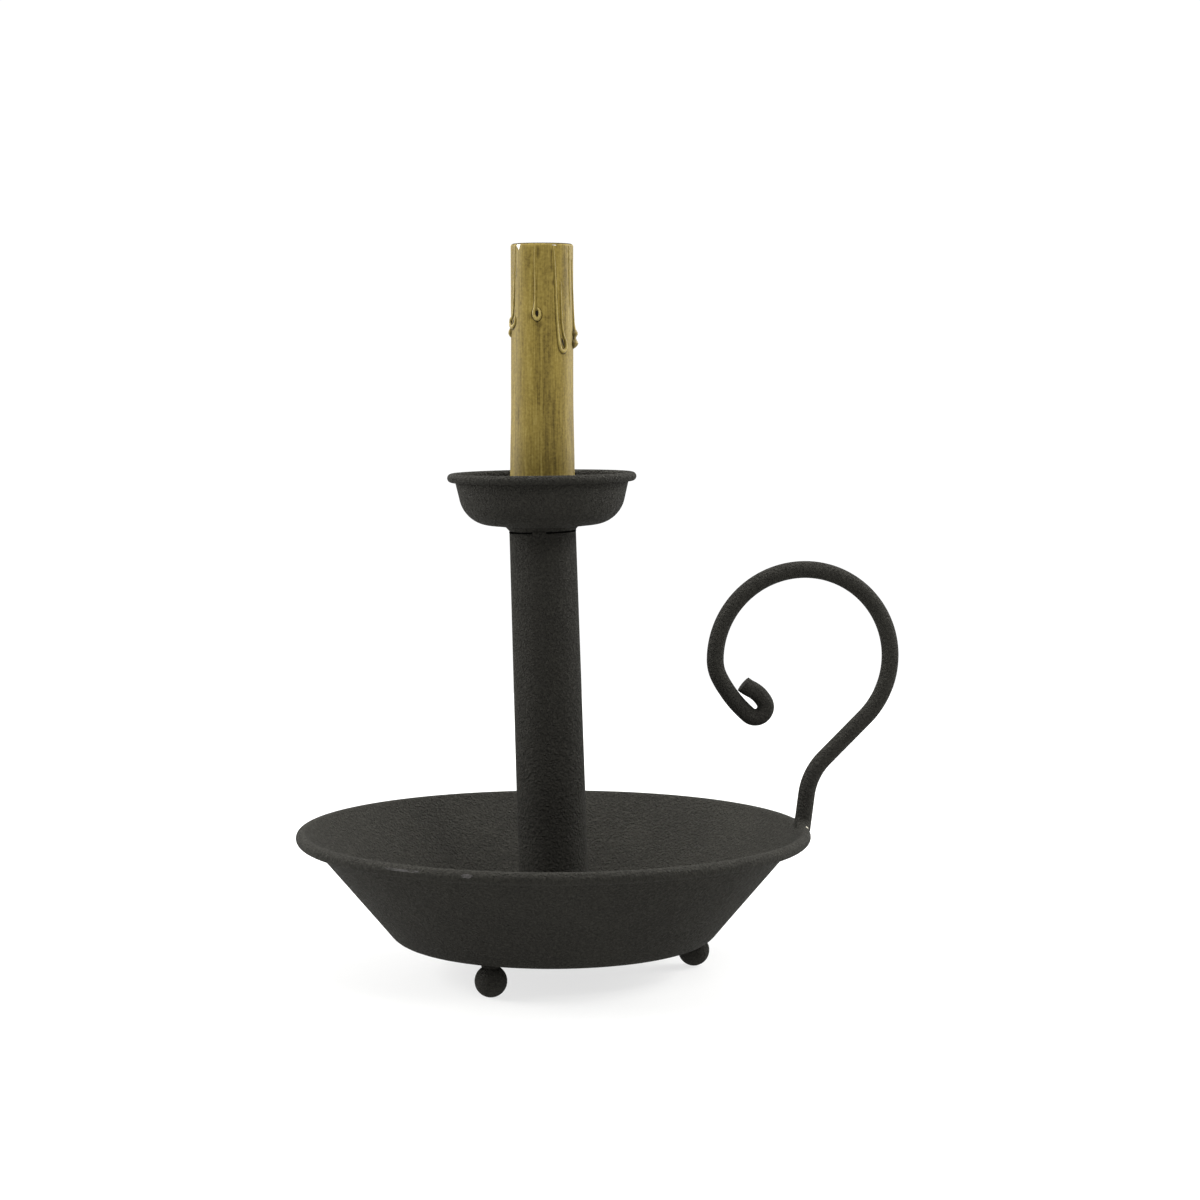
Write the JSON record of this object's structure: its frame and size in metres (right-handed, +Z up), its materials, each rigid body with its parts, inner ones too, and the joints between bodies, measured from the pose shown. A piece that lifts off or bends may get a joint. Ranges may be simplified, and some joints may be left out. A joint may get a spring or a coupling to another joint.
{
  "type": "chamberstick",
  "caption": "Chamberstick-shaped candle lamp: round drip pan on ball feet, leaning tube, drip cup, lift-off dripping candle sleeve over a lamp socket, and a bent-rod finger loop.",
  "frame": {"origin": "on the table under the middle of the pan", "axes": "+Z up, +X out through the finger loop, +Y to the back"},
  "size_m": [0.2253, 0.191, 0.2688],
  "materials": {
    "black_powder_coat": "black powder coat with a fine sand texture",
    "aged_wax": "honey-brown waxed sleeve with streaks and drips",
    "plated_steel": "zinc-plated steel",
    "brass": "plain brass",
    "phenolic": "black phenolic moulding",
    "rubber": "matt black rubber"
  },
  "bodies": {
    "stand": {"drip_pan": "black_powder_coat", "ball_foot_1": "black_powder_coat", "ball_foot_2": "black_powder_coat", "ball_foot_3": "black_powder_coat", "stem_tube": "black_powder_coat", "neck_plug": "black_powder_coat", "drip_cup": "black_powder_coat", "finger_loop": "black_powder_coat", "lamp_nipple": "plated_steel", "cup_washer": "plated_steel", "cup_locknut": "plated_steel", "socket_bracket": "plated_steel", "bracket_rivets": "plated_steel", "socket_body": "phenolic", "screw_shell": "brass", "centre_contact": "brass", "shell_terminal": "brass", "centre_terminal": "brass", "terminal_rivets": "brass", "terminal_screws": "brass", "cord_grommet": "rubber"},
    "candle": {"candle_sleeve": "aged_wax"}
  },
  "joints": [
    {"name": "sleeve_lift", "type": "slide", "parent": "stand", "child": "candle", "axis": [0, 0, 1], "range_m": [0, 0.105]}
  ]
}
